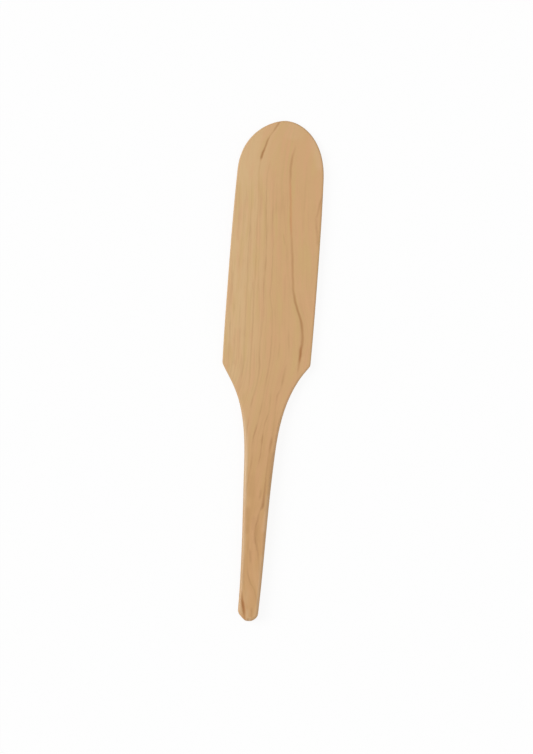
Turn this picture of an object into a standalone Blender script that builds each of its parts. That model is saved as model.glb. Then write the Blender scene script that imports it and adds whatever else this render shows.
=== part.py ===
# A carved wooden tongue depressor: a wide blade with a blunt crown, a swept neck and a narrow handle.
# It lies on its flat back, with +Z up, the blade's tip towards +Y and the handle's end towards -Y.
# The origin is under the middle of its length, on the back. Sizes are in metres, angles in degrees.

from math import atan2, cos, degrees, radians, sin, tan

import bmesh
import bpy
from mathutils import Vector
from mathutils.geometry import interpolate_bezier

# Stations along the paddle, each measured from the blade's tip.
LENGTH = 0.150
TIP_TO_WIDEST = 0.049
TIP_TO_NECK_END = 0.103

# Widths across the blade and the top of the handle.
BLADE_WIDTH = 0.02675
CROWN_DRAW_IN = 0.0004
SHOULDER_DRAW_IN = 0.0002
HANDLE_WIDTH = 0.00888

# The crown's peak lies a little to the right of the middle.
CREST_X = 0.00055

# How far the blade's sides lean in below the crown and in above the shoulders.
CROWN_BASE_LEAN = -1.9
SHOULDER_LEAN = 1.2

# Thicknesses. The blade is carved down from the plank that the handle keeps.
HANDLE_THICKNESS = 0.0030
BLADE_THICKNESS = 0.0020
TIP_THICKNESS = 0.0015
TIP_FEATHER_LENGTH = 0.020
TIP_TO_RAMP = 0.068

# Radii of the rounded edges on the front and the back.
BLADE_EDGE_RADIUS = 0.00045
HANDLE_EDGE_RADIUS = 0.0009

# How far the rounding of a shoulder runs along the two edges that meet there.
SHOULDER_ROUNDING = 0.0006

# The paddle is cut by hand, so its two long sides differ. A pull is the length of a curve's handle
# and a lean is an angle off the paddle's length, outwards when it is positive. The handle's end has
# a slanting cut on each side, and a share is the part of that cut that a rounded corner takes.
LEFT = {
    "sign": -1,
    "crest_pull": 0.0036,
    "crown_pull": 0.0119,
    "tip_to_crown_base": 0.0156,
    "tip_to_shoulder": 0.0737,
    "neck_lean": 29.5,
    "neck_pull": 0.0068,
    "neck_end_pull": 0.0192,
    "neck_end_lean": 2.5,
    "end_half_width": 0.0030,
    "end_lean": -0.6,
    "end_cut_height": 0.00225,
    "end_flat_half": 0.00065,
    "end_side_share": 0.35,
    "end_flat_share": 0.20,
}
RIGHT = {
    "sign": 1,
    "crest_pull": 0.0048,
    "crown_pull": 0.0123,
    "tip_to_crown_base": 0.0169,
    "tip_to_shoulder": 0.0728,
    "neck_lean": 39.0,
    "neck_pull": 0.0121,
    "neck_end_pull": 0.0076,
    "neck_end_lean": 3.1,
    "end_half_width": 0.00312,
    "end_lean": 2.6,
    "end_cut_height": 0.0017,
    "end_flat_half": 0.00175,
    "end_side_share": 0.30,
    "end_flat_share": 0.60,
}

# Steps in each stretch of the outline, in the carved front and in the rounded edges.
CROWN_STEPS = 20
BLADE_SIDE_STEPS = 6
NECK_STEPS = 14
HANDLE_STEPS = 8
CORNER_STEPS = 6
FRONT_STEPS = 12
EDGE_STEPS = 5

# How far the plank and the carving solid stand past the finished wood while it is shaped.
SPARE = 0.004

# Points closer than this are one point, and faces that turn less than this are one face.
WELD = 0.00001
FLAT_ANGLE = 0.02

# A face is part of the wall round the outline when its normal rises less than this.
WALL_RISE = 0.5
SHARP_ANGLE = 30

PART_NAME = "tongue_depressor"
WOOD_COLOR = (0.610, 0.386, 0.195, 1.0)
WOOD_ROUGHNESS = 0.6

TIP_Y = LENGTH / 2
END_Y = -LENGTH / 2


def lean(angle):
    """One step towards the tip, leaning outwards by an angle."""
    return Vector((sin(radians(angle)), cos(radians(angle))))


def bend(start, start_lean, start_pull, end, end_lean, end_pull, steps):
    """The points of one curved stretch, from its upper end to its lower end."""
    upper_handle = start - start_pull * lean(start_lean)
    lower_handle = end + end_pull * lean(end_lean)
    return interpolate_bezier(start, upper_handle, lower_handle, end, steps + 1)


def rounded_corner(corner, upper_lean, lower_lean, reach):
    """The arc that rounds a corner, which runs for a reach along the edges above and below it."""
    turn = radians(abs(lower_lean - upper_lean))
    radius = reach / tan(turn / 2)
    pull = radius * tan(turn / 4) * 4 / 3
    start = corner + reach * lean(upper_lean)
    end = corner - reach * lean(lower_lean)
    return bend(start, upper_lean, pull, end, lower_lean, pull, CORNER_STEPS)


def side_points(side):
    """One long side as half-widths and heights, from the crest down to the handle's flat end."""
    crest = Vector((side["sign"] * CREST_X, TIP_Y))
    crown_base = Vector((BLADE_WIDTH / 2 - CROWN_DRAW_IN, TIP_Y - side["tip_to_crown_base"]))
    widest = Vector((BLADE_WIDTH / 2, TIP_Y - TIP_TO_WIDEST))
    shoulder = Vector((BLADE_WIDTH / 2 - SHOULDER_DRAW_IN, TIP_Y - side["tip_to_shoulder"]))
    neck_end = Vector((HANDLE_WIDTH / 2, TIP_Y - TIP_TO_NECK_END))
    end_shoulder = Vector((side["end_half_width"], END_Y + side["end_cut_height"]))
    end_corner = Vector((side["end_flat_half"], END_Y))

    cut = end_shoulder - end_corner
    cut_lean = degrees(atan2(cut.x, cut.y))
    side_reach = side["end_side_share"] * cut.length
    flat_reach = side["end_flat_share"] * cut.length
    shoulder_arc = rounded_corner(shoulder, SHOULDER_LEAN, side["neck_lean"], SHOULDER_ROUNDING)
    end_arc = rounded_corner(end_shoulder, side["end_lean"], cut_lean, side_reach)
    corner_arc = rounded_corner(end_corner, cut_lean, 90, flat_reach)

    upper_pull = (crown_base.y - widest.y) / 3
    lower_pull = (widest.y - shoulder_arc[0].y) / 3
    handle_pull = (neck_end.y - end_arc[0].y) / 3
    stretches = [
        bend(crest, -90, side["crest_pull"], crown_base, CROWN_BASE_LEAN, side["crown_pull"], CROWN_STEPS),
        bend(crown_base, CROWN_BASE_LEAN, upper_pull, widest, 0, upper_pull, BLADE_SIDE_STEPS),
        bend(widest, 0, lower_pull, shoulder_arc[0], SHOULDER_LEAN, lower_pull, BLADE_SIDE_STEPS),
        shoulder_arc,
        bend(shoulder_arc[-1], side["neck_lean"], side["neck_pull"],
             neck_end, side["neck_end_lean"], side["neck_end_pull"], NECK_STEPS),
        bend(neck_end, side["neck_end_lean"], handle_pull,
             end_arc[0], side["end_lean"], handle_pull, HANDLE_STEPS),
        end_arc,
        corner_arc,
    ]
    points = [crest]
    for stretch in stretches:
        points += [point for point in stretch if (point - points[-1]).length > WELD]
    return points


def paddle_outline():
    """The outline seen from the front, down its left side and up its right side."""
    left = [(LEFT["sign"] * point.x, point.y) for point in side_points(LEFT)]
    right = [(RIGHT["sign"] * point.x, point.y) for point in side_points(RIGHT)]
    return left + right[:0:-1]


def carved_profile():
    """The side view: a flat back, a feathered tip and a front that ramps up to the handle."""
    feather_y = TIP_Y - TIP_FEATHER_LENGTH
    ramp_y = TIP_Y - TIP_TO_RAMP
    neck_y = TIP_Y - TIP_TO_NECK_END
    feather_pull = Vector(((TIP_Y - feather_y) / 2, 0))
    ramp_pull = Vector(((ramp_y - neck_y) / 2, 0))
    tip = Vector((TIP_Y, TIP_THICKNESS))
    feather = Vector((feather_y, BLADE_THICKNESS))
    ramp = Vector((ramp_y, BLADE_THICKNESS))
    neck = Vector((neck_y, HANDLE_THICKNESS))
    front = interpolate_bezier(tip, tip - feather_pull / 2, feather + feather_pull, feather, FRONT_STEPS)
    front += interpolate_bezier(ramp, ramp - ramp_pull, neck + ramp_pull, neck, FRONT_STEPS + 1)
    past_tip = [(TIP_Y + SPARE, -SPARE), (TIP_Y + SPARE, TIP_THICKNESS)]
    past_end = [(END_Y - SPARE, HANDLE_THICKNESS), (END_Y - SPARE, -SPARE)]
    return past_tip + [tuple(point) for point in front] + past_end


def extruded_solid(name, outline, depth, location, rotation, collection):
    """A flat outline pulled to a depth both ways from its plane, as a closed mesh object."""
    curve = bpy.data.curves.new(name, "CURVE")
    curve.dimensions = "2D"
    curve.fill_mode = "BOTH"
    curve.extrude = depth / 2
    spline = curve.splines.new("POLY")
    spline.points.add(len(outline) - 1)
    for point, (x, y) in zip(spline.points, outline):
        point.co = (x, y, 0, 1)
    spline.use_cyclic_u = True
    drawn = bpy.data.objects.new(name + "_outline", curve)
    drawn.location = location
    drawn.rotation_euler = rotation
    bpy.context.scene.collection.objects.link(drawn)
    bpy.context.view_layer.update()

    evaluated = drawn.evaluated_get(bpy.context.evaluated_depsgraph_get())
    mesh = bpy.data.meshes.new_from_object(evaluated)
    tidy = bmesh.new()
    tidy.from_mesh(mesh)
    bmesh.ops.remove_doubles(tidy, verts=tidy.verts, dist=WELD)
    bmesh.ops.dissolve_limit(tidy, angle_limit=radians(FLAT_ANGLE), verts=tidy.verts, edges=tidy.edges)
    tidy.to_mesh(mesh)
    tidy.free()
    solid = bpy.data.objects.new(name, mesh)
    solid.matrix_world = drawn.matrix_world.copy()
    collection.objects.link(solid)
    bpy.data.objects.remove(drawn)
    return solid


def wood_material():
    """Pale, oiled and fine-grained wood."""
    material = bpy.data.materials.new("wood")
    material.use_nodes = True
    shader = material.node_tree.nodes["Principled BSDF"]
    shader.inputs["Base Color"].default_value = WOOD_COLOR
    shader.inputs["Roughness"].default_value = WOOD_ROUGHNESS
    shader.inputs["Metallic"].default_value = 0.0
    material.diffuse_color = WOOD_COLOR
    return material


def edge_radius(y):
    """The rounding of an edge at a height: slight on the blade, fuller along the handle."""
    ramp_y = TIP_Y - TIP_TO_RAMP
    neck_y = TIP_Y - TIP_TO_NECK_END
    share = min(max((ramp_y - y) / (ramp_y - neck_y), 0), 1)
    smooth = share * share * (3 - 2 * share)
    return BLADE_EDGE_RADIUS + (HANDLE_EDGE_RADIUS - BLADE_EDGE_RADIUS) * smooth


def weigh_rims(mesh):
    """Give each edge between the wall and a face its share of the widest rounding, and return that."""
    widest = max(BLADE_EDGE_RADIUS, HANDLE_EDGE_RADIUS)
    shape = bmesh.new()
    shape.from_mesh(mesh)
    bmesh.ops.dissolve_limit(shape, angle_limit=radians(FLAT_ANGLE), verts=shape.verts, edges=shape.edges)
    weight = shape.edges.layers.float.new("bevel_weight_edge")
    for edge in shape.edges:
        upright = [abs(face.normal.z) < WALL_RISE for face in edge.link_faces]
        if sorted(upright) == [False, True]:
            middle_y = (edge.verts[0].co.y + edge.verts[1].co.y) / 2
            edge[weight] = edge_radius(middle_y) / widest
    shape.to_mesh(mesh)
    shape.free()
    return widest


def carve_paddle(parts, cutters):
    """Cut the plank to its outline, carve its front and round its edges."""
    plank_depth = max(HANDLE_THICKNESS, BLADE_THICKNESS, TIP_THICKNESS) + SPARE
    plank = extruded_solid("plank", paddle_outline(), plank_depth, (0, 0, plank_depth / 2), (0, 0, 0), parts)

    side_on = (radians(90), 0, radians(90))
    carving = extruded_solid("carving", carved_profile(), BLADE_WIDTH + 2 * SPARE, (0, 0, 0), side_on, cutters)
    carving.hide_render = True
    carving.display_type = "WIRE"

    cut = plank.modifiers.new("carved front", "BOOLEAN")
    cut.operation = "INTERSECT"
    cut.solver = "EXACT"
    cut.object = carving
    evaluated = plank.evaluated_get(bpy.context.evaluated_depsgraph_get())
    mesh = bpy.data.meshes.new_from_object(evaluated)
    widest = weigh_rims(mesh)
    paddle = bpy.data.objects.new(PART_NAME, mesh)
    paddle.matrix_world = plank.matrix_world.copy()
    parts.objects.link(paddle)
    bpy.data.objects.remove(plank)
    rounding = paddle.modifiers.new("rounded edges", "BEVEL")
    rounding.limit_method = "WEIGHT"
    rounding.width = widest
    rounding.segments = EDGE_STEPS
    rounding.use_clamp_overlap = False
    mesh.shade_smooth()
    mesh.set_sharp_from_angle(angle=radians(SHARP_ANGLE))
    mesh.materials.clear()
    mesh.materials.append(wood_material())


def main():
    for old in list(bpy.data.objects):
        bpy.data.objects.remove(old)
    parts = bpy.data.collections.new(PART_NAME)
    cutters = bpy.data.collections.new("cutters")
    bpy.context.scene.collection.children.link(parts)
    bpy.context.scene.collection.children.link(cutters)
    carve_paddle(parts, cutters)


main()
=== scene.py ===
# Looks of the carved wooden tongue depressor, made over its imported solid.
# Sizes are in metres. The wood's own pattern is drawn in millimetres, on the same origin.
from math import pi, radians

import bpy
from mathutils import Color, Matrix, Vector


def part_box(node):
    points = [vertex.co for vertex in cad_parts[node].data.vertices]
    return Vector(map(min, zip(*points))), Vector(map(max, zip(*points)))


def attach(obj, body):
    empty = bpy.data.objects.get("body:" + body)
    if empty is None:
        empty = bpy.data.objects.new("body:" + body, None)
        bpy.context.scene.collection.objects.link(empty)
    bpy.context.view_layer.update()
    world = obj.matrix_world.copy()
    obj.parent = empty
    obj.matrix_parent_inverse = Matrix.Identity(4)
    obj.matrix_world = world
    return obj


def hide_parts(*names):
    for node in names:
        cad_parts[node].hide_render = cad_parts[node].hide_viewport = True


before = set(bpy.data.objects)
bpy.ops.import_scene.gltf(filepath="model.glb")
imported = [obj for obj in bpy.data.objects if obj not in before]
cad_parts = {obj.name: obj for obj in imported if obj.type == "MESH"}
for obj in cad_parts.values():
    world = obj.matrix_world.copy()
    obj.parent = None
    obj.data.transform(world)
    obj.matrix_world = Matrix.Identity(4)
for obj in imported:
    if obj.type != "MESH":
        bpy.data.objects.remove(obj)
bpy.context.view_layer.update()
perMetre = 1000  # millimetres


class Strand:
    # One socket of a node tree. Sums on it add Math nodes, and node() adds any other kind.
    def __init__(self, tree, socket=None):
        self.tree = tree
        self.socket = socket

    def node(self, kind, settings=None, values=None, out=0):
        made = self.tree.nodes.new(kind)
        for name, setting in (settings or {}).items():
            if name == "course":
                layCourse(made.mapping, setting)
            else:
                setattr(made, name, setting)
        for name, value in (values or {}).items():
            target = socketNamed(made.inputs, name)
            if isinstance(value, Strand):
                self.tree.links.new(value.socket, target)
            else:
                target.default_value = value
        return Strand(self.tree, socketNamed(made.outputs, out))

    def beside(self, name):  # another output of the same node
        return Strand(self.tree, socketNamed(self.socket.node.outputs, name))

    def maths(self, operation, first, second=0.0):
        return self.node("ShaderNodeMath", {"operation": operation}, {0: first, 1: second})

    def __add__(self, other):
        return self.maths("ADD", self, other)

    def __radd__(self, other):
        return self.maths("ADD", other, self)

    def __sub__(self, other):
        return self.maths("SUBTRACT", self, other)

    def __rsub__(self, other):
        return self.maths("SUBTRACT", other, self)

    def __mul__(self, other):
        return self.maths("MULTIPLY", self, other)

    def __rmul__(self, other):
        return self.maths("MULTIPLY", other, self)

    def __truediv__(self, other):
        return self.maths("DIVIDE", self, other)

    def __pow__(self, other):
        return self.maths("POWER", self, other)

    def __abs__(self):
        return self.maths("ABSOLUTE", self)

    def most(self, other):
        return self.maths("MAXIMUM", self, other)

    def least(self, other):
        return self.maths("MINIMUM", self, other)

    def held(self):  # kept between 0 and 1
        return self.node("ShaderNodeClamp", None, {"Value": self})

    def eased(self, start, end):  # 0 at start, 1 at end, smooth between them
        limits = {"Value": self, "From Min": start, "From Max": end}
        return self.node("ShaderNodeMapRange", {"interpolation_type": "SMOOTHSTEP"}, limits)

    def read(self, course):  # the height of a drawn course, where this value runs along it from 0 to 1
        return self.node("ShaderNodeFloatCurve", {"course": course}, {"Value": self})

    def vector(self, operation, first, second=(0, 0, 0)):
        return self.node("ShaderNodeVectorMath", {"operation": operation}, {0: first, 1: second})

    def scaled(self, size):
        return self.node("ShaderNodeVectorMath", {"operation": "SCALE"}, {0: self, "Scale": size})

    def part(self, axis):
        return self.node("ShaderNodeSeparateXYZ", None, {0: self}, axis)

    def spot(self, x, y, z):
        return self.node("ShaderNodeCombineXYZ", None, {"X": x, "Y": y, "Z": z})

    def mixed(self, share, first, second, kind="RGBA"):
        values = {"Factor": share, "A": first, "B": second}
        return self.node("ShaderNodeMix", {"data_type": kind}, values, "Result")

    def cloud(self, x, y, z, detail=1.0):  # soft noise around 0.5
        values = {"Vector": self.spot(x, y, z), "Scale": 1.0, "Detail": detail}
        return self.node("ShaderNodeTexNoise", None, values)


def socketNamed(sockets, name):
    if isinstance(name, int):
        return sockets[name]
    return next(socket for socket in sockets if socket.enabled and socket.name == name)


def layCourse(mapping, points):
    curve = mapping.curves[0]
    curve.points[0].location = points[0]
    curve.points[1].location = points[-1]
    for across, up in points[1:-1]:
        curve.points.new(across, up)
    mapping.extend = "HORIZONTAL"
    mapping.update()


def paint(colour):  # a colour as it shows on a screen, 0 to 255
    linear = Color([level / 255 for level in colour]).from_srgb_to_scene_linear()
    return (*linear, 1.0)


# The paddle's form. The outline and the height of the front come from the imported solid.
paddle = {
    "node": "tongue_depressor",
    "stations": 410,  # rows of faces from the handle's end to the crest
    "strands": 94,  # faces across the front, and across the back
    "rimRows": 14,  # faces round the edge, from the back to the front
    "roundShare": 5 / 14,  # of those rows, the share in each rounded edge
    "crowding": 1.35,  # above 1, stations crowd towards the corners of the handle's end
    "bladeEdge": 0.00045,  # radius of the rounded edge along the blade
    "handleEdge": 0.0009,
    "rampTop": 0.007,  # where the front starts to rise to the handle
    "rampFoot": -0.028,
    "heightReadings": 40,
    "planing": 0.022,  # depths of the worked surface, in millimetres
    "softRings": 0.012,
    "groove": 0.05,
    "weld": 0.000001,
}
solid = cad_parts[paddle["node"]]
low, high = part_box(paddle["node"])

# The lines that the grain follows, as the front shows them. A course is (y, x) and a tone is
# (y, strength), both from the tip down. Age counts the rings from the left edge to the right.
grain = {
    "outerLine": {
        "course": [(75, -6.8), (68, -8.2), (60, -8.6), (52, -8.2), (44.75, -7.9), (33.5, -7.9),
                   (23.5, -7.6), (14.75, -7.25), (7.25, -6.9), (2.25, -6.75), (-1.5, -7.1),
                   (-4.5, -7.75), (-12, -9), (-75, -9)],
        "tone": [(56, 0), (52, 0.08), (47, 0.12), (43, 0.32), (37, 0.2), (32, 0.24), (28, 0.17),
                 (20, 0.24), (14, 0.22), (7, 0.22), (0, 0.2), (-5, 0.1)],
        "width": 0.52,
        "age": 0,
    },
    "crownStreak": {
        "course": [(75, -1.25), (73.5, -2.0), (71.5, -3.12), (69.4, -4.32), (66, -5.38),
                   (63.75, -6.08), (60, -6.4), (54, -6.1), (43.5, -5.9), (31, -5.4), (21, -5.2),
                   (11, -4.8), (-0.25, -4.75), (-3, -4.6), (-8, -5.4), (-14, -6.4), (-75, -6.8)],
        "tone": [(75, 0.45), (73.4, 0.7), (71.8, 0.44), (70.9, 0.26), (69.6, 0.5), (68, 0.7),
                 (66.5, 0.72), (65, 0.98), (63.8, 0.95), (63, 0.8), (62.3, 0.14), (58, 0.18),
                 (53, 0.16), (47, 0.1), (42, 0.2), (37, 0.16), (32, 0.22), (27, 0.2), (16, 0.22),
                 (11, 0.23), (0, 0.22), (-5, 0)],
        "width": 0.58,
        "age": 2.3,
    },
    "quietLine": {
        "course": [(75, 0.2), (70, -1.6), (66, -2.9), (61.75, -3.5), (58.5, -3.9), (53.5, -3.75),
                   (44.75, -3.25), (36, -2.6), (26, -2.5), (16, -1.9), (6, -2.25), (-0.25, -2.0),
                   (-5, -2.5), (-9.5, -3.45), (-17.5, -4.25), (-27, -4.4), (-75, -4.8)],
        "tone": [(63, 0), (58, 0.18), (50, 0.28), (47, 0.38), (42, 0.38), (36, 0.26), (32, 0.32),
                 (27, 0.26), (22, 0.2), (14, 0.14), (7, 0.12), (3, 0.24), (-3, 0.1), (-6, 0.08),
                 (-9.5, 0.24), (-13, 0.05), (-17.5, 0.3), (-20, 0)],
        "width": 0.52,
        "age": 4.9,
    },
    "middleLine": {
        "course": [(75, 1.4), (66, -0.6), (58, -1.4), (49.75, -1.5), (42.25, -1.0), (36, -0.55),
                   (26, -0.4), (23, -0.4), (18.5, 0.375), (13.5, 1.0), (7.25, 1.1), (2.25, 0.95),
                   (-2.5, 0.4), (-8.75, -0.25), (-14.5, -1.1), (-22.5, -2.4), (-27, -2.2),
                   (-33.75, -2.9), (-42, -3.4), (-52, -3.3), (-60, -2.8), (-67.75, -2.0),
                   (-71.5, -1.4), (-75, -0.7)],
        "tone": [(54, 0), (50, 0.1), (47, 0.24), (42, 0.08), (36, 0.2), (28, 0.16), (24, 0.2),
                 (20, 0.16), (12, 0.16), (7, 0.25), (2, 0.29), (-3, 0.3), (-5.5, 0.1), (-9, 0.2),
                 (-12, 0.42), (-15, 0.2), (-17, 0.4), (-22, 0.3), (-24, 0.15), (-27, 0.42),
                 (-30, 0.28), (-36, 0.28), (-42, 0.14), (-60, 0.12)],
        "width": 0.55,
        "age": 7.3,
    },
    "neckLine": {
        "course": [(75, 2.4), (60, 0.6), (49, 0.7), (38, 1.4), (26, 2.2), (16, 3.0), (6.5, 3.6),
                   (0, 2.9), (-8.75, 2.0), (-11.25, 2.0), (-16.5, 0.75), (-23.75, 0.4),
                   (-30, -0.2), (-38, -0.9), (-46, -1.3), (-52.25, -1.4), (-58, -1.1),
                   (-61, -0.7), (-62.5, -0.2), (-63.75, 0.25), (-64.75, 1.1), (-68.25, 2.1),
                   (-75, 3.2)],
        "tone": [(9, 0), (6.5, 0.2), (3, 0.02), (-6, 0.02), (-8.5, 0.2), (-12, 0.1), (-15, 0.34),
                 (-18, 0.18), (-20.5, 0.5), (-23, 0.25), (-26, 0.36), (-30, 0.08), (-50, 0.1),
                 (-52, 0.3), (-57, 0.12), (-61, 0.4), (-65, 0.46), (-67.5, 0.28), (-70, 0)],
        "width": 0.6,
        "age": 9.7,
    },
    "handleLine": {
        "course": [(75, 3.6), (60, 1.9), (49, 2.3), (38, 3.3), (26, 4.6), (16, 5.8), (11, 6.0),
                   (5.5, 6.5), (1, 5.75), (-5, 4.9), (-7.25, 4.0), (-10, 3.75), (-17.5, 3.5),
                   (-23.25, 3.05), (-27, 2.8), (-33, 2.5), (-37.5, 2.3), (-40, 2.1), (-41.25, 1.85),
                   (-42.3, 1.3), (-45, 0.85), (-47.5, 0.45), (-49.5, 0.5), (-52.25, 1.2),
                   (-56.5, 2.05), (-62, 2.9), (-75, 5.0)],
        "tone": [(13, 0), (9, 0.18), (4, 0.05), (1, 0.2), (-3, 0.36), (-5, 0.1), (-7, 0.3),
                 (-12, 0.12), (-17, 0.15), (-19.5, 0.26), (-21, 0.62), (-23, 0.52), (-28, 0.32),
                 (-33, 0.42), (-36, 0.62), (-38, 0.85), (-40, 0.98), (-41.2, 1), (-41.9, 0.2),
                 (-43, 0.5), (-45, 0.6), (-48.5, 0.4), (-52, 0.62), (-54, 0.44), (-56, 0.38),
                 (-59, 0.34), (-62, 0)],
        "width": 0.72,
        "age": 12.1,
    },
    "vein": {
        "course": [(75, 4.6), (66.75, 3.7), (64.75, 3.25), (62, 2.9), (59, 2.95), (52.5, 3.55),
                   (46, 4.05), (41, 4.6), (35.5, 5.2), (28.5, 5.95), (25, 6.35), (21.75, 7.05),
                   (19, 7.95), (16.5, 8.95), (14.75, 9.6), (12.25, 10.05), (9.5, 10.3), (8, 10.2),
                   (6.8, 10.05), (5.25, 9.95), (3, 9.7), (1.0, 9.6), (-5, 9.0), (-20, 6.5),
                   (-40, 4.8), (-50, 4.0), (-60, 5.5), (-75, 7.5)],
        "tone": [(68, 0), (66.5, 0.23), (64.5, 0.4), (62, 0.56), (59, 0.52), (56, 0.44),
                 (52, 0.42), (47, 0.5), (44, 0.46), (40, 0.4), (36, 0.44), (32, 0.52), (27, 0.52),
                 (24, 0.64), (21, 0.73), (18, 0.77), (14, 0.76), (11, 0.68), (8, 0.77), (6, 0.84),
                 (4, 0.76), (3, 0.48), (1, 0.36), (0.2, 0.12), (-1, 0)],
        "width": 0.72,
        "age": 14.6,
    },
}
quietLines = ("outerLine", "quietLine", "middleLine", "neckLine", "handleLine")

# Strokes and shades between the drawn lines, each straight from its upper end to its lower end.
# The dark ones come first, then the pale ones.
strokes = [
    {"course": [(62, 7.6), (42, 7.9)], "width": 0.5, "tone": 0.1},
    {"course": [(56, -0.6), (47, -0.2)], "width": 3.0, "tone": 0.06},
    {"course": [(52.5, 12.7), (46.5, 11.7)], "width": 0.55, "tone": 0.38},
    {"course": [(49, -11.1), (38, -11.3)], "width": 0.5, "tone": 0.1},
    {"course": [(46.5, 11.6), (38.5, 12.7)], "width": 0.6, "tone": 0.36},
    {"course": [(46, -9.7), (38, -9.8)], "width": 0.5, "tone": 0.1},
    {"course": [(41, 2.2), (38, 2.8)], "width": 0.5, "tone": 0.2},
    {"course": [(33, -9.2), (24, -9.1)], "width": 0.5, "tone": 0.1},
    {"course": [(29, -12.0), (19, -12.0)], "width": 0.5, "tone": 0.14},
    {"course": [(29, 3.6), (21, 4.1)], "width": 0.5, "tone": 0.14},
    {"course": [(24, 8.6), (5, 10.4)], "width": 2.6, "tone": 0.09},
    {"course": [(14, -11.6), (0, -11.2)], "width": 0.5, "tone": 0.14},
    {"course": [(12, -8.6), (3, -8.5)], "width": 0.5, "tone": 0.12},
    {"course": [(12, -10.1), (1, -9.7)], "width": 0.5, "tone": 0.15},
    {"course": [(-7, -6.1), (-9.5, -6.2)], "width": 0.5, "tone": 0.22},
    {"course": [(-24, 3.7), (-42, 3.2)], "width": 1.3, "tone": 0.3},
    {"course": [(-31, -1.9), (-38, -1.7)], "width": 2.4, "tone": 0.1},
    {"course": [(-35.4, 1.35), (-38.2, 1.0)], "width": 0.7, "tone": 0.42},
    {"course": [(-41, -2.3), (-49, -2.0)], "width": 1.2, "tone": 0.28},
    {"course": [(-43.5, -0.2), (-48, 0)], "width": 1.4, "tone": 0.22},
    {"course": [(-45.4, 0.65), (-51.6, 0.75)], "width": 1.25, "tone": 0.36},
    {"course": [(-53.6, -0.8), (-57.4, -0.25)], "width": 0.6, "tone": 0.34},
    {"course": [(-55, -2.1), (-64, -1.9)], "width": 0.5, "tone": 0.26},
    {"course": [(-71, 1.1), (-74.6, 1.35)], "width": 0.5, "tone": 0.5},
]
paleStrokes = [
    {"course": [(75, 3.2), (69.5, 3.2)], "width": 4.5, "tone": 0.14},
    {"course": [(71, 9.2), (61, 12)], "width": 2.6, "tone": 0.2},
    {"course": [(-37, 3.5), (-48, 3.1)], "width": 1.2, "tone": 0.24},
    {"course": [(-55, 3), (-61, 2.9)], "width": 1.1, "tone": 0.2},
    {"course": [(-59.5, 2.95), (-71, 2.65)], "width": 0.6, "tone": 0.3},
    {"course": [(-61.5, -2.25), (-66.5, -2.3)], "width": 0.6, "tone": 0.32},
    {"course": [(-65.5, -0.9), (-70, -0.7)], "width": 1.3, "tone": 0.1},
    {"course": [(-67.8, -2.75), (-73.2, -2.0)], "width": 0.75, "tone": 0.42},
    # This stroke is painted light: it lightens the shaded right rounded edge near the handle's end.
    {"course": [(-70.5, 2.5), (-73.6, 2.2)], "width": 0.9, "tone": 0.2},
    {"course": [(-71.5, -0.1), (-75, 0)], "width": 0.8, "tone": 0.3},
    {"course": [(-74, 0.6), (-76, 0.6)], "width": 0.9, "tone": 0.6},
]
strokeFade = 1.6  # length over which a stroke's ends fade

# The dark fleck beside the handle's end.
knot = {
    "course": [(75, -2.1), (-67, -2.1), (-68.5, -1.95), (-70, -1.62), (-71, -1.38), (-72, -1.2),
               (-74, -0.85), (-75, -0.7)],
    "tone": [(75, 0), (-65.4, 0), (-66.6, 0.26), (-67.8, 0.52), (-69, 0.84), (-70.2, 1),
             (-71.2, 0.93), (-72.4, 0.75), (-73.6, 0.36), (-74.8, 0.3)],
    "width": 0.78,
}

# Painted highlight: a paler strip along the handle's left rounded edge, where the light from the left
# falls.
paintedHighlight = {
    "course": [(75, -9), (-6, -9), (-10, -7.2), (-14, -6), (-18, -5.25), (-22, -4.75), (-26, -4.45),
               (-34, -4.1), (-42, -3.7), (-50, -3.35), (-60, -3.1), (-75, -3)],
    "tone": [(75, 0), (-8, 0), (-14, 0.25), (-22, 0.45), (-34, 0.55), (-40, 0.4), (-45, 0.2),
             (-50, 0.34), (-62, 0.3), (-72, 0.25), (-75, 0.25)],
    "fade": (0.5, 1.45),  # distances from the edge, in millimetres
}

wood = {
    "leftTan": (205, 170, 123),
    "rightTan": (199, 158, 110),
    "handleTan": (193, 149, 98),
    "pinkTan": (205, 156, 114),
    "yellowTan": (196, 163, 106),
    # colour of the painted highlight on the handle's left edge, also used for the pale strokes
    "paleAndHighlightTan": (210, 182, 144),
    "lineBrown": (162, 117, 70),
    "veinBrown": (162, 116, 66),
    "emberBrown": (152, 97, 42),
    "rustBrown": (184, 116, 68),
    "endBrown": (166, 122, 72),
    "leftToRight": (-11, 3),  # where one tan passes into the next, across and then along the paddle
    "bladeToHandle": (6, -45),
    "pinkShare": 0.4,
    "yellowShare": 0.2,  # everywhere, and how much more there is on the blade
    "bladeYellow": 0.3,
    "shade": 0.2,  # strengths of the soft shades, the threads, the fibres and the finest grain
    "thread": 0.16,
    "fibre": 0.26,
    "fine": 0.08,
    "threadWidth": 0.04,
    "edgeShade": 0.18,  # how dark the blade's edges and the handle's end are
    "endShade": 0.7,
    "roughness": 0.5,
    "roughSpread": 0.12,
    "handRubbed": 0.16,  # how much smoother the handle's rounded edges are
    "bumpStrength": 0.25,
    "relief": 0.00003,  # height of the fibres in the bump, in metres
    "grainStarts": (63, 48),  # below the crown, fine lines come up between these heights
    "crownGrain": 0.2,  # how much of them the crown has
    "handleStarts": (-8, -26),
    "ember": (1, 3, 7, 9),  # stretches of the long vein with their own browns, fading at both ends
    "rust": (38, 44, 54, 59),
    "sway": 0.3,  # how far the lines wander, over a long and over a short way, in millimetres
    "quiver": 0.28,
    "ringLean": 0.35,  # how far a ring moves sideways for each millimetre below the front
    "goneBy": 5,  # depth at which a drawn line has faded out
    "patternHalf": 16,  # half of the width that drawn courses may use
}


def endToEnd(drawn, reach):
    # A drawn course or tone as a curve node takes it: both ways 0 to 1, from the handle's end up.
    half = high.y * perMetre
    return [((y + half) / (2 * half), (value + reach) / (2 * reach)) for y, value in reversed(drawn)]


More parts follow.
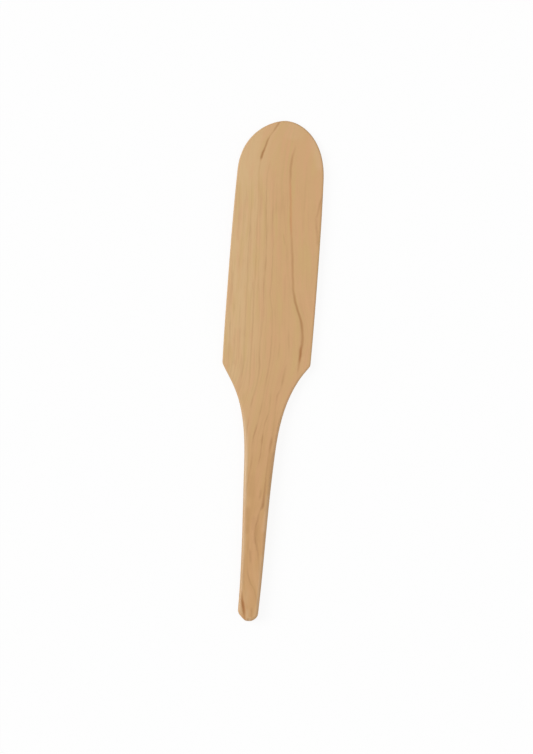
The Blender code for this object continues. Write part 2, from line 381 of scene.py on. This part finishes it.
def courseAt(share, drawn):
    reach = wood["patternHalf"]
    return share.read(endToEnd(drawn, reach)) * (2 * reach) - reach


def toneAt(share, drawn):
    return share.read(endToEnd(drawn, 1)) * 2 - 1


def insideWood(place, heights):
    # Where a place in metres lies in the wood. Across is x, drawn back up the leaning rings.
    spot = place.scaled(perMetre)
    x, y, z = spot.part("X"), spot.part("Y"), spot.part("Z")
    half = high.y * perMetre
    share = (y + half) / (2 * half)
    below = share.read(heights["course"]) * (heights["tallest"] * perMetre) - z
    sway = (spot.cloud(x * 0.05, y * 0.11, z * 0.2) - 0.5) * wood["sway"]
    quiver = (spot.cloud(x * 0.3, y * 0.5, z * 0.4) - 0.5) * wood["quiver"]
    across = x + below * wood["ringLean"] + sway + quiver
    lines = {name: courseAt(share, line["course"]) for name, line in grain.items()}
    seen = 1 - (below / wood["goneBy"]).held()
    # A drawn line is fainter and stronger by turns.
    broken = spot.cloud(x * 0.9, y * 0.24, z * 0.9, 2).eased(0.3, 0.6) * 0.5 + 0.65
    return {"x": x, "y": y, "z": z, "share": share, "below": below, "across": across,
            "lines": lines, "seen": seen, "broken": broken}


def ringAge(at):
    # Counts the rings from left to right. Between two lines it runs from one's age to the other's.
    names = list(grain)
    age = (at["across"] - at["lines"][names[0]]).least(0.0) + grain[names[0]]["age"]
    for left, right in zip(names, names[1:]):
        gap = (at["across"] - at["lines"][left]) / (at["lines"][right] - at["lines"][left])
        age = age + gap.held() * (grain[right]["age"] - grain[left]["age"])
    return age + (at["across"] - at["lines"][names[-1]]).most(0.0)


def inkOf(at, course, tone, width):
    off = abs(at["across"] - course)
    wide = width * (tone * 0.5 + 0.6)  # a strong line is wider too
    return (1 - off.eased(0.0, wide)) * tone * at["seen"]


def lineInk(at, name):
    line = grain[name]
    return inkOf(at, at["lines"][name], toneAt(at["share"], line["tone"]), line["width"])


def knotInk(at):
    course = courseAt(at["share"], knot["course"])
    return inkOf(at, course, toneAt(at["share"], knot["tone"]), knot["width"])


def strokeInk(at, stroke):
    (upperY, upperX), (lowerY, lowerX) = stroke["course"]
    slope = (upperX - lowerX) / (upperY - lowerY)
    y = at["y"]
    off = abs(at["across"] - ((y - lowerY) * slope + lowerX))
    starts = y.eased(lowerY - strokeFade / 2, lowerY + strokeFade / 2)
    ends = y.eased(upperY + strokeFade / 2, upperY - strokeFade / 2)
    return (1 - off.eased(0.0, stroke["width"])) * starts * ends * at["seen"] * stroke["tone"]


def strokesInk(at, drawn):
    ink = strokeInk(at, drawn[0])
    for stroke in drawn[1:]:
        ink = ink.most(strokeInk(at, stroke))
    return ink


def stretch(y, reach):  # 1 along a stretch of the paddle, fading at both ends
    foot, full, last, top = reach
    return y.eased(foot, full) * (1 - y.eased(last, top))


def readOutline(mesh):
    # The wall's corners in order: the handle's flat end, up the left side, the crest, down the right.
    corners = set()
    for face in mesh.polygons:
        if abs(face.normal.z) < 0.02:  # a face of the upright wall
            for index in face.vertices:
                x, y = mesh.vertices[index].co.xy
                corners.add((round(x, 6), round(y, 6)))
    crest = max(corners, key=lambda corner: corner[1])
    flat = sorted(corners, key=lambda corner: corner[1])[:2]
    middle = ((flat[0][0] + flat[1][0]) / 2, flat[0][1])
    corners.discard(crest)
    lean = (crest[0] - middle[0]) / (crest[1] - middle[1])
    left = [corner for corner in corners if corner[0] < middle[0] + (corner[1] - middle[1]) * lean]
    right = [corner for corner in corners if corner not in left]
    left.sort(key=lambda corner: corner[1])
    right.sort(key=lambda corner: -corner[1])
    return [middle, *left, crest, *right], len(left) + 1


def readHeights():
    # How high the front stands along the paddle's middle, from the handle's end to the tip.
    edge = paddle["handleEdge"] * 1.2  # clear of the rounded edges at both ends
    count = paddle["heightReadings"]
    readings = []
    for step in range(count):
        y = low.y + edge + (high.y - low.y - 2 * edge) * step / (count - 1)
        place = solid.ray_cast(Vector((0, y, 1)), Vector((0, 0, -1)))[1]
        readings.append((y, place.z))
    tallest = max(z for y, z in readings)
    course = [((y - low.y) / (high.y - low.y), z / tallest) for y, z in readings]
    return {"tallest": tallest, "course": course}


def drawOutline(corners):
    curve = bpy.data.curves.new("outline", "CURVE")
    curve.dimensions = "3D"
    curve.resolution_u = 12
    spline = curve.splines.new("BEZIER")
    spline.bezier_points.add(len(corners) - 1)
    for point, (x, y) in zip(spline.bezier_points, corners):
        point.co = (x, y, 0)
        point.handle_left_type = "AUTO"
        point.handle_right_type = "AUTO"
    spline.use_cyclic_u = True
    outline = bpy.data.objects.new("outline", curve)
    bpy.context.scene.collection.objects.link(outline)
    return outline


def paddleTree(heights):
    tree = bpy.data.node_groups.new("carved paddle", "GeometryNodeTree")
    wanted = {
        "Outline": "Geometry", "Crest point": "Int", "Last point": "Int", "Stations": "Int",
        "Strands": "Int", "Rim rows": "Int", "Round share": "Float", "Crowding": "Float",
        "Blade edge": "Float", "Handle edge": "Float", "Ramp top": "Float", "Ramp foot": "Float",
        "Planing": "Float", "Soft rings": "Float", "Groove": "Float", "Weld": "Float",
        "Wood": "Material",
    }
    for name, kind in wanted.items():
        tree.interface.new_socket(name, in_out="INPUT", socket_type="NodeSocket" + kind)
    tree.interface.new_socket("Paddle", in_out="OUTPUT", socket_type="NodeSocketGeometry")
    entry = tree.nodes.new("NodeGroupInput")
    given = {name: Strand(tree, entry.outputs[name]) for name in wanted}
    base = Strand(tree)

    def pointShare(index):  # how far along the outline one of its points lies
        measure = base.node("GeometryNodeSplineParameter", None, None, "Factor")
        values = {"Geometry": given["Outline"], "Value": measure, "Index": index}
        return base.node("GeometryNodeSampleIndex", {"data_type": "FLOAT"}, values)

    def edgeAt(y):
        ramp = y.eased(given["Ramp top"], given["Ramp foot"])
        return given["Blade edge"] + (given["Handle edge"] - given["Blade edge"]) * ramp

    def side(cornerShare, along):  # a place on the outline and the way out of the wood there
        reach = cornerShare + (crestShare - cornerShare) * along
        values = {"Curves": given["Outline"], "Factor": reach}
        spot = base.node("GeometryNodeSampleCurve", {"mode": "FACTOR"}, values, "Position")
        return spot, base.vector("CROSS_PRODUCT", (0, 0, 1), spot.beside("Tangent"))

    def inset(spot, outward):  # where the rounded edge meets the flat
        return base.vector("SUBTRACT", spot, outward.scaled(edgeAt(spot.part("Y"))))

    def heightAt(spot):
        share = (spot.part("Y") - low.y) / (high.y - low.y)
        return share.read(heights["course"]) * heights["tallest"]

    def raised(spot, height):
        return base.vector("ADD", spot, base.spot(0.0, 0.0, height))

    def grid(rows, columns):  # a flat sheet of faces, and how far along and across it each point is
        values = {"Size X": 1.0, "Size Y": 1.0, "Vertices X": rows + 1, "Vertices Y": columns + 1}
        sheet = base.node("GeometryNodeMeshGrid", None, values, "Mesh")
        spot = base.node("GeometryNodeInputPosition")
        return sheet, spot.part("X") + 0.5, spot.part("Y") + 0.5

    def laid(sheet, spot, marks, turned):
        sheet = base.node("GeometryNodeSetPosition", None, {"Geometry": sheet, "Position": spot})
        for name, value in marks.items():
            values = {"Geometry": sheet, "Name": name, "Value": value}
            sheet = base.node("GeometryNodeStoreNamedAttribute", {"data_type": "FLOAT"}, values)
        if turned:
            sheet = base.node("GeometryNodeFlipFaces", None, {"Mesh": sheet})
        return sheet

    def rim(sheet, spot, outward, around, turned):
        # The section of an edge: a quarter round on the back, a wall and a quarter round on the front.
        share = given["Round share"]
        edge = edgeAt(spot.part("Y"))
        height = heightAt(inset(spot, outward))
        lower = (1 - (around / share).held()) * (-pi / 2)
        upper = ((around - 1 + share) / share).held() * (pi / 2)
        wall = ((around - share) / (1 - share * 2)).held()
        bottom = edge * (lower.maths("SINE", lower) + 1)
        top = edge * upper.maths("SINE", upper)
        lowerReach = 1 - lower.maths("COSINE", lower)
        upperReach = 1 - upper.maths("COSINE", upper)
        drawnIn = base.vector("SUBTRACT", spot, outward.scaled(edge * (lowerReach + upperReach)))
        upright = (1 - lowerReach) * (1 - upperReach)
        marks = {"edge": upright, "endways": upright * abs(outward.part("Y"))}
        return laid(sheet, raised(drawnIn, bottom + wall * (height - edge * 2) + top), marks, turned)

    crestShare = pointShare(given["Crest point"])
    leftShare = pointShare(1)
    rightShare = pointShare(given["Last point"])
    pieces = []
    for cornerShare, turned in ((leftShare, True), (rightShare, False)):
        sheet, along, around = grid(given["Stations"], given["Rim rows"])
        spot, outward = side(cornerShare, along ** given["Crowding"])
        pieces.append(rim(sheet, spot, outward, around, turned))

    sheet, across, around = grid(given["Strands"], given["Rim rows"])
    leftSpot, leftOut = side(leftShare, 0.0 * across)
    rightSpot, rightOut = side(rightShare, 0.0 * across)
    spot = base.mixed(across, leftSpot, rightSpot, "VECTOR")
    outward = base.mixed(across, leftOut, rightOut, "VECTOR")
    flatEnd = base.mixed(across, inset(leftSpot, leftOut), inset(rightSpot, rightOut), "VECTOR")
    pieces.append(rim(sheet, spot, outward, around, False))

    for front in (True, False):
        sheet, along, across = grid(given["Stations"], given["Strands"])
        spaced = along ** given["Crowding"]
        leftIn = inset(*side(leftShare, spaced))
        rightIn = inset(*side(rightShare, spaced))
        spot = base.mixed(across, leftIn, rightIn, "VECTOR")
        if front:
            spot = raised(spot, base.mixed(across, heightAt(leftIn), heightAt(rightIn), "FLOAT"))
        pieces.append(laid(sheet, spot, {"edge": 0.0, "endways": 0.0}, front))

    joined = tree.nodes.new("GeometryNodeJoinGeometry")
    for piece in reversed(pieces):
        tree.links.new(piece.socket, joined.inputs[0])
    values = {"Geometry": Strand(tree, joined.outputs[0]), "Distance": given["Weld"]}
    closed = base.node("GeometryNodeMergeByDistance", None, values)

    # The worked surface only ever goes inwards, so the paddle stays inside the solid.
    at = insideWood(base.node("GeometryNodeInputPosition"), heights)
    x, y, z = at["x"], at["y"], at["z"]
    planing = base.cloud(x / 4.5, y / 17, z / 3) * given["Planing"]
    rings = base.cloud(ringAge(at) * 1.3, y * 0.02, at["below"] * 0.2) * given["Soft rings"]
    sunk = (lineInk(at, "vein") + lineInk(at, "crownStreak") + knotInk(at)) * given["Groove"]
    depth = (planing + rings + sunk) / perMetre
    inward = base.node("GeometryNodeInputNormal", None, None, "Normal").scaled(depth * -1)
    worked = base.node("GeometryNodeSetPosition", None, {"Geometry": closed, "Offset": inward})

    smooth = base.node("GeometryNodeSetShadeSmooth", None, {"Geometry": worked})
    real = base.node("GeometryNodeRealizeInstances", None, {"Geometry": smooth})
    done = base.node("GeometryNodeSetMaterial", None, {"Geometry": real, "Material": given["Wood"]})
    leave = tree.nodes.new("NodeGroupOutput")
    tree.links.new(done.socket, leave.inputs["Paddle"])
    return tree


def carvePaddle(heights, material):
    corners, crestPoint = readOutline(solid.data)
    outline = drawOutline(corners)
    tree = paddleTree(heights)
    shape = outline.modifiers.new("carved paddle", "NODES")
    shape.node_group = tree
    given = {
        "Crest point": crestPoint, "Last point": len(corners) - 1, "Wood": material,
        "Stations": paddle["stations"], "Strands": paddle["strands"], "Rim rows": paddle["rimRows"],
        "Round share": paddle["roundShare"], "Crowding": paddle["crowding"],
        "Blade edge": paddle["bladeEdge"], "Handle edge": paddle["handleEdge"],
        "Ramp top": paddle["rampTop"], "Ramp foot": paddle["rampFoot"],
        "Planing": paddle["planing"], "Soft rings": paddle["softRings"],
        "Groove": paddle["groove"], "Weld": paddle["weld"],
    }
    for item in tree.interface.items_tree:
        if item.name in given:
            shape[item.identifier] = given[item.name]
    evaluated = outline.evaluated_get(bpy.context.evaluated_depsgraph_get())
    mesh = bpy.data.meshes.new_from_object(evaluated)
    bpy.data.objects.remove(outline)
    carved = bpy.data.objects.new("carved_paddle", mesh)
    bpy.context.scene.collection.objects.link(carved)
    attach(carved, "root")
    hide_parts(paddle["node"])
    print("paddle carved:", len(corners), "outline points,", len(mesh.polygons), "faces")


def woodMaterial(heights):
    material = bpy.data.materials.new("wood")
    material.use_nodes = True
    tree = material.node_tree
    shader = tree.nodes["Principled BSDF"]
    base = Strand(tree)
    at = insideWood(base.node("ShaderNodeTexCoord", None, None, "Object"), heights)
    age = ringAge(at)
    x, y, below = at["x"], at["y"], at["below"]

    tan = base.mixed(x.eased(*wood["leftToRight"]), paint(wood["leftTan"]), paint(wood["rightTan"]))
    tan = base.mixed(y.eased(*wood["bladeToHandle"]), tan, paint(wood["handleTan"]))
    pink = base.cloud(age * 0.5, y * 0.08, below * 0.2, 2).eased(0.42, 0.68)
    tan = base.mixed(pink * wood["pinkShare"], tan, paint(wood["pinkTan"]))
    yellow = base.cloud(age * 0.55 + 40, y * 0.07, below * 0.2, 2).eased(0.45, 0.7)
    yellowShare = y.eased(-16, 0) * wood["bladeYellow"] + wood["yellowShare"]
    tan = base.mixed(yellow * yellowShare, tan, paint(wood["yellowTan"]))

    # Soft shades, fibres, fine threads where a slow noise crosses its middle, and the drawn lines.
    # Every noise is drawn out along the grain, so y counts for little in it.
    shade = (base.cloud(x * 0.3, y * 0.16, below, 2) - 0.5) * wood["shade"]
    fibre = base.cloud(age * 2.8, y * 0.07, below * 2, 3)
    fine = base.cloud(age * 14, y * 0.35, below * 9, 2)
    crossing = abs(base.cloud(age * 0.85, y * 0.02, below * 0.2, 1) - 0.5)
    thread = 1 - crossing.eased(0.0, wood["threadWidth"])
    leftward = 1 - x.eased(-4, 8) * 0.7  # the right side of the blade is plainer
    grown = y.eased(*wood["grainStarts"]) * (1 - wood["crownGrain"]) + wood["crownGrain"]
    drawn = strokesInk(at, strokes)
    for name in quietLines:
        drawn = drawn.most(lineInk(at, name))
    fibres = (fibre - 0.5) * wood["fibre"] + (fine - 0.5) * wood["fine"]
    faint = thread * leftward * wood["thread"] + fibres
    dark = drawn * at["broken"] + faint * grown + shade
    tan = base.mixed(dark.held(), tan, paint(wood["lineBrown"]))

    # Ember and rust stay on the long vein, right of the streak that comes down from the crown.
    veins = lineInk(at, "vein").most(lineInk(at, "crownStreak"))
    core = knotInk(at)
    ember = stretch(y, wood["ember"]) * x.eased(4, 8)
    rust = stretch(y, wood["rust"]) * x.eased(0, 2)
    veinBrown = base.mixed(ember, paint(wood["veinBrown"]), paint(wood["emberBrown"]))
    veinBrown = base.mixed(rust, veinBrown, paint(wood["rustBrown"]))
    tan = base.mixed(veins * (at["broken"] * 0.4 + 0.6), tan, veinBrown)
    tan = base.mixed(core, tan, paint(wood["emberBrown"]))

    # A painted highlight on the handle's left edge and the pale strokes, then painted shade on the
    # blade's edges and the handle's end.
    edge = base.node("ShaderNodeAttribute", {"attribute_name": "edge"}, None, "Fac").eased(0.0, 0.5)
    endways = base.node("ShaderNodeAttribute", {"attribute_name": "endways"}, None, "Fac")
    handle = y.eased(*wood["handleStarts"])
    # Painted highlight: paler near the drawn course of the handle's left edge.
    inwards = abs(at["across"] - courseAt(at["share"], paintedHighlight["course"]))
    highlightInk = (1 - inwards.eased(*paintedHighlight["fade"])) * toneAt(at["share"], paintedHighlight["tone"])
    pale = highlightInk.most(strokesInk(at, paleStrokes)) * (1 - core)
    tan = base.mixed(pale, tan, paint(wood["paleAndHighlightTan"]))
    # Painted shade: the blade's rounded edges and walls darkened towards line brown, the handle's end
    # wall towards end brown.
    tan = base.mixed(edge * (1 - handle) * wood["edgeShade"], tan, paint(wood["lineBrown"]))
    tan = base.mixed(endways * handle * wood["endShade"], tan, paint(wood["endBrown"]))

    smoother = edge * handle * wood["handRubbed"]
    rough = (fibre - 0.5) * wood["roughSpread"] + wood["roughness"] - smoother
    height = fibre * 0.6 + fine * 0.4 - veins * 0.5
    values = {"Strength": wood["bumpStrength"], "Distance": wood["relief"], "Height": height}
    bump = base.node("ShaderNodeBump", None, values)
    tree.links.new(tan.socket, shader.inputs["Base Color"])
    tree.links.new(rough.socket, shader.inputs["Roughness"])
    tree.links.new(bump.socket, shader.inputs["Normal"])
    print("wood mixed:", len(tree.nodes), "nodes")
    return material


# The floor, the light and the camera.
studio = {
    "skyShare": 0.5,  # of the light that falls on a level surface, which adds up to 1
    "keyShare": 0.35,
    "fillShare": 0.15,
    "keyFrom": (-0.85, 0.2, 0.62),
    "fillFrom": (0.75, -0.4, 0.75),
    "keyAngle": 40,
    "fillAngle": 80,
    "floorHalf": 4,
    "floorWhite": 0.99,
    "bouncedWhite": 0.8,
    "shadowShare": 0.1,  # how much of the floor's shadow the camera sees
}
photo = {
    "tilt": 4.3,  # degrees that the paddle leans clockwise in the picture
    "middle": (0.00033, -0.00188),  # the place on the paddle under the picture's middle
    "viewHeight": 0.2256,  # length that the picture takes in from top to bottom, level with the rim
    "rimHeight": 0.0012,
    "lens": 85,
    "sensor": 36,
}


def seenDirectly(base):
    path = base.node("ShaderNodeLightPath", None, None, "Is Camera Ray")
    return path.most(path.beside("Is Glossy Ray")).most(path.beside("Is Transmission Ray"))


def grey(level):
    return (level, level, level, 1)


def layFloor():
    half = studio["floorHalf"]
    corners = [(-half, -half, 0), (half, -half, 0), (half, half, 0), (-half, half, 0)]
    mesh = bpy.data.meshes.new("floor")
    mesh.from_pydata(corners, [], [(0, 1, 2, 3)])
    floor = bpy.data.objects.new("floor", mesh)
    bpy.context.scene.collection.objects.link(floor)
    material = bpy.data.materials.new("pale floor")
    material.use_nodes = True
    tree = material.node_tree
    base = Strand(tree)
    direct = seenDirectly(base)
    shader = tree.nodes["Principled BSDF"]
    shader.inputs["Roughness"].default_value = 1.0
    shader.inputs["Specular IOR Level"].default_value = 0.0
    white = base.mixed(direct, grey(studio["bouncedWhite"]), grey(studio["floorWhite"]))
    tree.links.new(white.socket, shader.inputs["Base Color"])
    glow = base.node("ShaderNodeEmission", None, {"Color": grey(studio["floorWhite"])})
    lit = Strand(tree, shader.outputs["BSDF"])
    unshaded = direct * (1 - studio["shadowShare"])
    shown = base.node("ShaderNodeMixShader", None, {0: unshaded, 1: lit, 2: glow})
    tree.links.new(shown.socket, tree.nodes["Material Output"].inputs["Surface"])
    mesh.materials.append(material)


def hangLamp(name, come, share, angle):
    lamp = bpy.data.lights.new(name, "SUN")
    direction = Vector(come).normalized()
    lamp.energy = share * pi / direction.z
    lamp.angle = radians(angle)
    held = bpy.data.objects.new(name, lamp)
    held.rotation_euler = direction.to_track_quat("Z", "Y").to_euler()
    bpy.context.scene.collection.objects.link(held)


def lightStudio():
    world = bpy.data.worlds.new("soft sky")
    bpy.context.scene.world = world
    world.use_nodes = True
    background = world.node_tree.nodes["Background"]
    base = Strand(world.node_tree)
    strength = base.mixed(seenDirectly(base), studio["skyShare"], 1.0, "FLOAT")
    background.inputs["Color"].default_value = grey(1)
    world.node_tree.links.new(strength.socket, background.inputs["Strength"])
    hangLamp("key", studio["keyFrom"], studio["keyShare"], studio["keyAngle"])
    hangLamp("fill", studio["fillFrom"], studio["fillShare"], studio["fillAngle"])


def setCamera():
    camera = bpy.data.cameras.new("camera")
    camera.lens = photo["lens"]
    camera.sensor_width = photo["sensor"]
    camera.clip_start = 0.01
    held = bpy.data.objects.new("camera", camera)
    x, y = photo["middle"]
    held.location = (x, y, photo["rimHeight"] + photo["viewHeight"] * photo["lens"] / photo["sensor"])
    held.rotation_euler = (0, 0, radians(photo["tilt"]))
    bpy.context.scene.collection.objects.link(held)
    bpy.context.scene.camera = held


bpy.context.scene.view_settings.view_transform = "Standard"
bpy.context.view_layer.update()
layFloor()
lightStudio()
setCamera()
print("studio set")
frontHeights = readHeights()
carvePaddle(frontHeights, woodMaterial(frontHeights))
